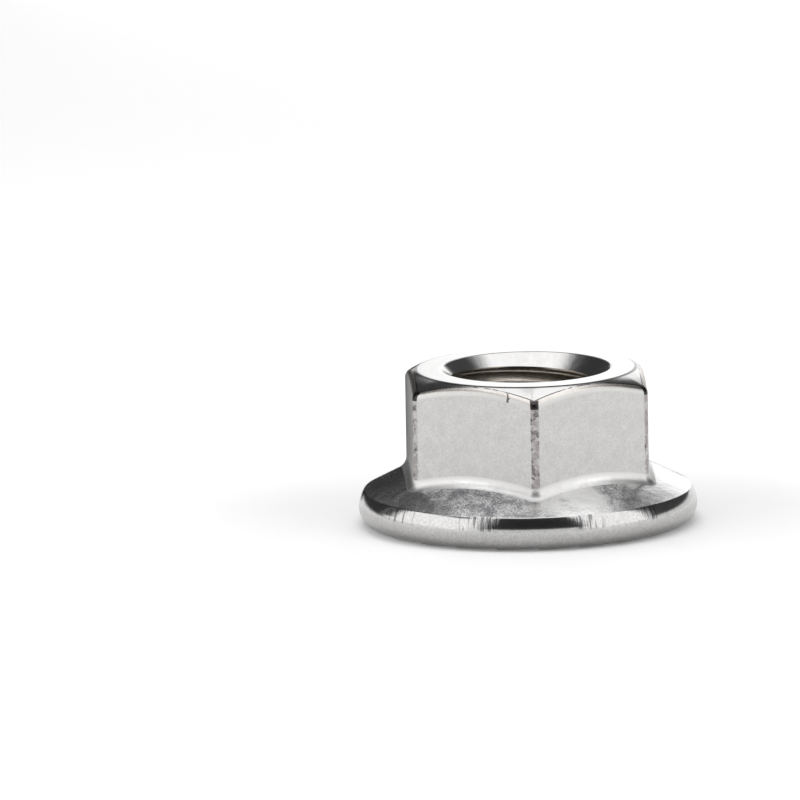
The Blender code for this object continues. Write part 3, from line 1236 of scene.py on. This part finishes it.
@dataclass(frozen=True)
class CrestFinish(SteelFinish):
    """Warm burnished steel of the crest's rounding.

    It fades into the satin of the flat below and is painted dark where it crosses a corner, a
    painted reflection. It has dents in a few small places, and one nick, a thin upright cut whose
    x and y are given.
    """

    satin: Colour = (0.545, 0.54, 0.53)
    fade: tuple[float, float] = (7.36, 7.48)
    fade_roughness: float = 0.14
    # Dark tone of the nick, and of the painted reflection where the crest crosses a corner
    darker_tone: Colour = (0.03, 0.027, 0.027)
    corner_reflection_edge: tuple[float, float] = (0.24, 0.30)
    corner_reflection_sway: float = 0.08
    darker_share: float = 0.95
    ragged: Noise = Noise(6.0, 3.0, 0.6)
    dent: Colour = (0.16, 0.13, 0.11)
    dents: Spots = Spots(2.6, 5.0, 0.75, low=0.66, high=0.70)
    dents_share: float = 0.8
    nick_at: tuple[float, float] = (-1.63, -7.72)
    nick_edge: tuple[float, float] = (0.03, 0.08)
    nick_depth: tuple[float, float] = (0.5, 1.0)
    nick_sway: float = 0.5
    nick_share: float = 0.9

    def touch(self, shader: Shader, place: Place, tint: Socket, roughness: Signal) -> Look:
        """Fade, dent and nick the band by its distances from the flat's line and the nick."""
        reach, lead = place.hexagon()
        below = reach.between(*self.fade)
        tint = shader.blend(below, tint, self.satin)
        dents = shader.spots(place.vector, self.dents) * self.dents_share
        tint = shader.blend(dents, tint, self.dent)
        sway = shader.sway(place.vector, self.ragged)
        aside = shader.math("ABSOLUTE", place.x + sway * self.nick_sway - self.nick_at[0])
        beyond = shader.math("ABSOLUTE", place.y - self.nick_at[1])
        nick = (1 - aside.between(*self.nick_edge)) * (1 - beyond.between(*self.nick_depth))
        tint = shader.blend(nick * self.nick_share, tint, self.darker_tone)
        # Painted dark reflection: the crest is darkened where it crosses a corner
        corner = 1 - (lead + sway * self.corner_reflection_sway).between(*self.corner_reflection_edge)
        tint = shader.blend(corner * self.darker_share, tint, self.darker_tone)
        return tint, roughness + below * self.fade_roughness


@dataclass(frozen=True)
class RootFinish(SteelFinish):
    """Forged steel of the root, lightened as a painted highlight and darker at the corners, which
    fades into the flat above.
    """

    satin: Colour = (0.605, 0.60, 0.59)
    fade: tuple[float, float] = (7.50, 7.62)
    fade_share: float = 0.9
    fade_roughness: float = 0.04
    darker_tone: Colour = (0.44, 0.435, 0.43)
    darker_lead: tuple[float, float] = (0.8, 4.6)
    darker_share: float = 0.55

    def touch(self, shader: Shader, place: Place, tint: Socket, roughness: Signal) -> Look:
        """Blend in the darker tone by the lead, and the satin by the distance from the flat."""
        reach, lead = place.hexagon()
        above = 1 - reach.between(*self.fade)
        near = 1 - lead.between(*self.darker_lead)
        tint = shader.blend(near * self.darker_share, tint, self.darker_tone)
        tint = shader.blend(above * self.fade_share, tint, self.satin)
        return tint, roughness + above * self.fade_roughness


@dataclass(frozen=True)
class FlangeFinish(SteelFinish):
    """Pressed steel of the flange's cone, its colour raised as a painted sheen, with dark mottling
    that is strong in patches of painted reflection.

    The patches are sectors, each an azimuth and half a width in degrees. A trace of the mottling
    shows between them.
    """

    # Colour of the mottling, and of the painted dark reflection in the patches
    mottle_and_reflection: Colour = (0.13, 0.13, 0.145)
    mottle_and_reflection_share: float = 0.88
    # Sectors of painted dark reflection
    patches: tuple[tuple[float, float], ...] = ((224, 60), (307, 10), (24, 20), (122, 30))
    ragged: Noise = Noise(0.9, 4.0, 0.6)
    ragged_sway: float = 1.6
    fine: Noise = Noise(8.0, 4.0, 0.8)
    fine_share: float = 0.62
    broad: Noise = Noise(1.4, 4.0, 0.6)
    step: tuple[float, float] = (0.39, 0.58)
    trace: float = 0.03
    dulling: float = 0.10

    def touch(self, shader: Shader, place: Place, tint: Socket, roughness: Signal) -> Look:
        """Darken the patches as painted reflection, in a fine noise over a broad one."""
        ragged = shader.sway(place.vector, self.ragged)
        # The patches are painted dark reflection; only the trace between them is mottling
        cover = place.patches(self.patches, ragged, self.ragged_sway)
        fine = shader.noise(place.vector, self.fine) * self.fine_share
        broad = shader.noise(place.vector, self.broad) * (1 - self.fine_share)
        grey = (fine + broad).between(*self.step)
        mottle_and_reflection_mask = grey * (self.trace + (1 - self.trace) * cover)
        tint = shader.blend(mottle_and_reflection_mask * self.mottle_and_reflection_share, tint, self.mottle_and_reflection)
        return tint, roughness + mottle_and_reflection_mask * self.dulling


@dataclass(frozen=True)
class RimFinish(SteelFinish):
    """Rolled steel of the rim: scratched upright in sectors of the barrel, and darker towards the
    foot with painted shade.

    The scratches lie above a height and the painted shade grows below one, both in millimetres.
    """

    streak: Colour = (0.10, 0.095, 0.10)
    streaks: Spots = Spots(1.0, 2.0, 0.5, low=0.54, high=0.60)
    streaks_share: float = 0.75
    streaks_round: float = 46.0
    streaks_up: float = 0.35
    scratched: tuple[tuple[float, float], ...] = (
        (216, 8), (250, 9), (288, 6), (315, 7), (60, 20),
    )
    faint: float = 0.3
    upper: tuple[float, float] = (1.25, 1.45)
    # Colour of the specks, and of the painted shade at the foot
    specks_and_foot_shade: Colour = (0.24, 0.235, 0.23)
    specks: Spots = Spots(6.5, 5.0, 0.75, low=0.38, high=0.66)
    specks_share: float = 0.35
    foot: tuple[float, float] = (0.15, 1.3)
    foot_shade_share: float = 0.55
    dulling: float = 0.10

    def grain_of(self, shader: Shader, place: Place) -> Signal:
        """Return the upright grain, which is deep in the scratched sectors and faint elsewhere."""
        grain = super().grain_of(shader, place) - 0.5
        cover = place.patches(self.scratched, grain, 1.0)
        return 0.5 + grain * (self.faint + (1 - self.faint) * cover)

    def touch(self, shader: Shader, place: Place, tint: Socket, roughness: Signal) -> Look:
        """Stain thin upright streaks in the scratched sectors, speck the rim, and paint shade
        towards the foot.
        """
        radius = place.radius()
        upright = shader.vector(
            place.x / radius * self.streaks_round,
            place.y / radius * self.streaks_round,
            place.z * self.streaks_up,
        )
        streaks = shader.noise(upright, self.streaks)
        cover = place.patches(self.scratched, streaks - 0.5, 1.0)
        stained = streaks.between(self.streaks.low, self.streaks.high) * cover
        upper = place.z.between(*self.upper)
        tint = shader.blend(stained * upper * self.streaks_share, tint, self.streak)
        specks = shader.spots(place.vector, self.specks) * self.specks_share
        # Painted shade: the rim darkens towards the floor, below the foot's height
        foot = 1 - place.z.between(*self.foot)
        tint = shader.blend(specks + foot * self.foot_shade_share, tint, self.specks_and_foot_shade)
        return tint, roughness + (1 - upper) * self.dulling


@dataclass
class HexFlangeNut:
    """The nut: one closed surface, with a finish for each zone of it."""

    name: str = "flange_nut"
    surface: NutSurface = field(default_factory=NutSurface)
    sharp_angle: float = math.radians(32)
    weld_distance: float = 0.0008

    def finishes(self) -> dict[Region, SteelFinish]:
        """Return the finish of each zone."""
        return {
            Region.RING: SteelFinish(
                "turned_ring", roughness=0.16, grain=(0.6, 5.0, 5.0), grain_depth=0.0012,
                wave_scale=0.5, wave_depth=0.002, turned=True,
            ),
            Region.CROWN: CrownFinish(
                "formed_crown", roughness=0.15, grain=(1.2, 3.0, 3.0), grain_depth=0.0018,
                wave_scale=0.9, wave_depth=0.004, turned=True,
            ),
            Region.CREST: CrestFinish(
                "burnished_crest", colour=(0.66, 0.63, 0.60), stain=(0.40, 0.36, 0.33),
                stain_amount=0.6, roughness=0.26, grain=(2.0, 3.0, 3.0), grain_depth=0.002,
                wave_scale=0.9, wave_depth=0.003, turned=True,
            ),
            Region.FLATS: FlatsFinish(
                "satin_flats", colour=(0.605, 0.60, 0.59), roughness=0.40, roughness_swing=0.10,
                grain=(9.0, 9.0, 6.0), grain_depth=0.014, wave_scale=0.35, wave_depth=0.004,
                stain_amount=0.6,
            ),
            # The root's colour is raised well above the rest of the steel: a painted highlight
            Region.ROOT: RootFinish(
                "forged_root", colour=(0.90, 0.895, 0.89), roughness=0.38, roughness_swing=0.10,
                grain=(4.0, 4.0, 4.0), grain_depth=0.008, wave_scale=0.9, wave_depth=0.02,
                stain_amount=0.4,
            ),
            # The flange's colour is raised above the rest of the steel: a painted sheen
            Region.FLANGE: FlangeFinish(
                "pressed_flange", colour=(0.79, 0.79, 0.79), roughness=0.25,
                grain=(6.0, 6.0, 6.0), grain_depth=0.006, wave_scale=0.8, wave_depth=0.03,
                stain_amount=0.2,
            ),
            Region.RIM: RimFinish(
                "rolled_rim", colour=(0.56, 0.555, 0.55), roughness=0.13,
                grain=(46.0, 0.4, 0.4), grain_depth=0.014, wave_scale=1.2, wave_depth=0.006,
                turned=True,
            ),
            Region.TEETH: SteelFinish(
                "pressed_serrations", roughness=0.2, grain=(4.0, 4.0, 4.0), grain_depth=0.003,
                wave_scale=0.8, wave_depth=0.005,
            ),
            Region.COUNTERSINK: SteelFinish(
                "turned_countersink", roughness=0.15, grain=(14.0, 1.0, 1.0), grain_depth=0.004,
                wave_scale=1.1, wave_depth=0.007, turned=True,
            ),
            Region.THREAD: SteelFinish(
                "cut_thread", colour=(0.60, 0.57, 0.52), stain=(0.26, 0.22, 0.18),
                stain_amount=0.6, roughness=0.20, grain=(1.5, 6.0, 9.0), grain_depth=0.003,
                turned=True,
            ),
        }

    def make_mesh(self) -> bpy.types.Mesh:
        """Build the mesh from the surface's points and faces, with a material index for each."""
        points, faces = self.surface.assemble()
        mesh = bpy.data.meshes.new(self.name)
        sizes = np.concatenate([np.full(len(part), part.shape[1]) for _, part in faces])
        corners = np.concatenate([part.ravel() for _, part in faces])
        region = np.concatenate([np.full(len(part), kind.value) for kind, part in faces])
        mesh.vertices.add(len(points))
        mesh.vertices.foreach_set("co", (points * MM).astype(np.float32).ravel())
        mesh.loops.add(len(corners))
        mesh.loops.foreach_set("vertex_index", corners.astype(np.int32))
        mesh.polygons.add(len(sizes))
        starts = np.concatenate(([0], np.cumsum(sizes)[:-1]))
        mesh.polygons.foreach_set("loop_start", starts.astype(np.int32))
        mesh.polygons.foreach_set("material_index", region.astype(np.int32))
        mesh.update(calc_edges=True)
        return mesh

    def weld(self, mesh: bpy.types.Mesh) -> None:
        """Weld the seams between the bands, and report the closed surface."""
        near = self.weld_distance * MM
        shape = bmesh.new()
        shape.from_mesh(mesh)
        bmesh.ops.remove_doubles(shape, verts=shape.verts[:], dist=near)
        bmesh.ops.dissolve_degenerate(shape, edges=shape.edges[:], dist=near)
        open_edges = [edge for edge in shape.edges if len(edge.link_faces) != 2]
        volume = shape.calc_volume(signed=True)
        triangles = sum(len(face.verts) - 2 for face in shape.faces)
        shape.to_mesh(mesh)
        shape.free()
        LOG.info(
            "%s: %d triangles, %d open edges, %.1f cubic mm",
            self.name, triangles, len(open_edges), volume / MM**3,
        )

    def build(self) -> bpy.types.Object:
        """Build the mesh, weld its seams, dress it and fix it to the frame."""
        mesh = self.make_mesh()
        self.weld(mesh)
        finishes = self.finishes()
        for kind in Region:
            mesh.materials.append(finishes[kind].dress())
        mesh.shade_smooth()
        mesh.set_sharp_from_angle(angle=self.sharp_angle)
        nut = add_object(self.name, mesh)
        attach(nut, "root")
        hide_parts("hex_flange_nut")
        return nut


@dataclass(frozen=True)
class Card:
    """One card of the studio: a patch of a sphere round the nut that glows or stays dark.

    Azimuths are degrees to the right of the camera, seen from the nut's far side, and elevations
    are degrees over the floor. A card close to the nut is a flag, which only mirrors show.
    """

    name: str
    left: float
    right: float
    low: float
    high: float
    level: float
    soft: float = 4.0
    fade: float = 4.0
    distance: float = 0.30
    flag: bool = False

    ROWS: ClassVar[int] = 33
    COLUMNS: ClassVar[int] = 49
    LOW_FADE: ClassVar[float] = 4.0

    def build(self, camera_azimuth: float) -> bpy.types.Object:
        """Build the patch on a grid of azimuths and elevations, at its distance from the origin.

        The card fades out towards its edges. Its cover is the product of smooth steps from each
        edge: over soft degrees at the sides, over fade degrees at the top, and over at most
        LOW_FADE degrees at the foot.

        Args:
            camera_azimuth: azimuth of the camera from -Y, towards +X, in radians.

        Returns:
            The card, which no camera sees.
        """
        across = np.linspace(self.left, self.right, self.COLUMNS)[None, :]
        upward = np.linspace(self.low, self.high, self.ROWS)[:, None]
        cover = (
            smooth(0.0, self.soft, across - self.left)
            * smooth(0.0, self.soft, self.right - across)
            * smooth(0.0, min(self.fade, self.LOW_FADE), upward - self.low)
            * smooth(0.0, self.fade, self.high - upward)
        )
        turn = np.radians(across) + camera_azimuth
        points = self.distance * direction(turn, np.radians(upward))
        index = np.arange(self.ROWS * self.COLUMNS).reshape(self.ROWS, self.COLUMNS)
        quads = np.stack((index[:-1, :-1], index[1:, :-1], index[1:, 1:], index[:-1, 1:]), axis=-1)
        mesh = bpy.data.meshes.new(self.name)
        mesh.from_pydata(points.reshape(-1, 3).tolist(), [], quads.reshape(-1, 4).tolist())
        mesh.attributes.new("cover", "FLOAT", "POINT").data.foreach_set(
            "value", cover.astype(np.float32).ravel()
        )
        shader = Shader.named(self.name)
        glow = shader.node(
            "ShaderNodeEmission", None, {"Color": (1.0, 1.0, 1.0, 1.0), "Strength": self.level}
        )
        clear = shader.node("ShaderNodeBsdfTransparent")
        share = shader.node("ShaderNodeAttribute", {"attribute_name": "cover"}).outputs["Fac"]
        shader.show("ShaderNodeOutputMaterial", share, clear, glow)
        mesh.materials.append(shader.owner)
        card = add_object(self.name, mesh)
        card.visible_camera = False
        card.visible_diffuse = card.visible_shadow = not self.flag
        return card


@dataclass
class Studio:
    """The floor, the world's light and the cards that the steel mirrors.

    Lengths are in metres, but the radii between which the floor's glow grows, and its painted
    shadow fades, in millimetres.
    """

    camera_azimuth: float
    floor_size: float = 3.0
    floor_drop: float = 0.00001
    floor_colour: float = 0.8
    floor_roughness: float = 0.7
    floor_lift: float = 0.27
    painted_shadow_share: float = 0.35
    painted_shadow_radius: tuple[float, float] = (13.0, 36.0)
    world_level: float = 0.3
    key_level: float = 2.2
    key_turn: float = math.radians(-150)
    key_height: float = math.radians(56)
    key_spread: float = math.radians(50)
    cards: tuple[Card, ...] = (
        Card("card_behind_camera", -31, 39, 10, 62, 0.035, soft=2.0),
        Card("card_rim_left", -117, -104, 6, 44, 0.03, soft=3.0),
        Card("card_high_left", -150, -46, 44, 66, 0.10, soft=8.0, fade=18.0, distance=0.29),
        Card("card_far_left", -165, -111, 0, 62, 0.05, soft=9.0, fade=12.0),
        Card("card_low_left", -171, -148, 0, 34, 0.06, soft=6.0, fade=16.0),
        Card("card_far_right", 87, 161.5, 5, 60, 0.07, soft=9.0, fade=14.0),
        Card("card_back", 164, 196, 20, 60, 0.05, soft=6.0, fade=6.0),
        Card("flag_left", -164, -122, 0, 36, 0.02, soft=6.0, distance=0.018, flag=True),
        Card("softbox_left", -114, -36, 2, 66, 1.6, distance=0.31),
        Card("softbox_right", 39, 90, 2, 66, 1.6, distance=0.31),
        Card("softbox_back", 146, 184, 2, 40, 1.5, distance=0.33),
        Card("softbox_top", -180, 180, 58, 90, 1.6, distance=0.34),
    )

    def build(self) -> None:
        """Build the floor, the cards and the world."""
        self._floor()
        for card in self.cards:
            card.build(self.camera_azimuth)
            LOG.info("%s: level %.2f", card.name, card.level)
        self._key_light()
        self._world()

    def _floor(self) -> None:
        """Build the white floor, a square plane just under the nut.

        Its faint glow, which keeps it white, is weaker close to the nut, a painted shadow round it
        beside the real one.
        """
        half = self.floor_size / 2
        corners = np.array([[-1, -1, 0], [1, -1, 0], [1, 1, 0], [-1, 1, 0]]) * half
        corners[:, 2] = -self.floor_drop
        mesh = bpy.data.meshes.new("floor")
        mesh.from_pydata(corners.tolist(), [], [(0, 1, 2, 3)])
        shader = Shader.named("white_floor")
        white, black = (1.0, 1.0, 1.0), (0.0, 0.0, 0.0)
        seen = shader.seen()
        paper = shader.blend(seen, (self.floor_colour,) * 3, white)
        # Painted shadow: the glow dips close to the nut, so the floor darkens round it
        away = shader.place().radius().between(*self.painted_shadow_radius)
        glow = self.painted_shadow_share + (1 - self.painted_shadow_share) * away
        lift = shader.blend(seen * glow, black, white)
        constants = {
            "Roughness": self.floor_roughness,
            "Specular IOR Level": 0.0,
            "Emission Strength": self.floor_lift,
        }
        varying = {"Base Color": paper, "Emission Color": lift}
        mesh.materials.append(shader.surface(constants, varying))
        floor = add_object("floor", mesh)

    def _key_light(self) -> None:
        """Add a broad light from behind on the left, which throws the floor's soft shadow."""
        data = bpy.data.lights.new("key_light", "SUN")
        data.energy, data.angle = self.key_level, self.key_spread
        light = add_object("key_light", data)
        towards = Vector(direction(self.key_turn + self.camera_azimuth, self.key_height))
        light.rotation_euler = towards.to_track_quat("Z", "Y").to_euler()
        light.visible_glossy = False
        LOG.info("%s: level %.2f", light.name, data.energy)

    def _world(self) -> None:
        """Light the studio with a plain white world, which cameras and mirrors see as white."""
        shader = Shader(bpy.data.worlds.new("studio"))
        white = (1.0, 1.0, 1.0, 1.0)
        light, shown = (
            shader.node("ShaderNodeBackground", None, {"Color": white, "Strength": level})
            for level in (self.world_level, 1.0)
        )
        shader.show("ShaderNodeOutputWorld", shader.seen(), light, shown)
        bpy.context.scene.world = shader.owner


@dataclass
class ViewCamera:
    """The camera: a long lens, from a little above, with the nut right of the frame's middle.

    Angles are in radians, the distance, height and clip in metres, and the sensor in millimetres.
    The scale and the target's place are those of a frame of frame_pixels on a side.
    """

    azimuth: float = math.radians(-3.4)
    elevation: float = math.radians(10.68)
    roll: float = math.radians(0.97)
    distance: float = 1.2
    target_height: float = 0.004914
    frame_pixels: float = 800.0
    pixels_per_mm: float = 15.69
    target_pixel: tuple[float, float] = (527.05, 444.69)
    sensor: float = 36.0
    clip: tuple[float, float] = (0.01, 10.0)

    def build(self) -> bpy.types.Object:
        """Build the camera so that the nut's middle falls on its pixel, without a lens shift."""
        back = Vector(direction(self.azimuth, self.elevation))
        level_right = Vector((math.cos(self.azimuth), math.sin(self.azimuth), 0.0))
        level_up = back.cross(level_right)
        right = level_right * math.cos(self.roll) - level_up * math.sin(self.roll)
        up = level_right * math.sin(self.roll) + level_up * math.cos(self.roll)
        focal = self.distance / MM * self.pixels_per_mm
        across = (self.target_pixel[0] - self.frame_pixels / 2) / focal
        down = (self.target_pixel[1] - self.frame_pixels / 2) / focal
        forward = (-back - right * across + up * down).normalized()
        right = forward.cross(up).normalized()
        up = right.cross(forward)
        data = bpy.data.cameras.new("camera")
        data.sensor_width = self.sensor
        data.lens = self.sensor * focal / self.frame_pixels
        data.clip_start, data.clip_end = self.clip
        camera = add_object("camera", data)
        turn = Matrix((right, up, -forward)).transposed().to_4x4()
        place = Vector((0.0, 0.0, self.target_height)) + back * self.distance
        camera.matrix_world = Matrix.Translation(place) @ turn
        bpy.context.scene.camera = camera
        return camera


def main() -> None:
    """Build the nut, its studio and the camera, and report the nut and the studio's lights."""
    logging.basicConfig(level=logging.INFO, format="%(message)s")
    bpy.context.scene.view_settings.view_transform = "Standard"
    camera = ViewCamera()
    nut = HexFlangeNut().build()
    LOG.info("%s rides on the root body", nut.name)
    Studio(camera.azimuth).build()
    camera.build()


if __name__ == "__main__":
    main()
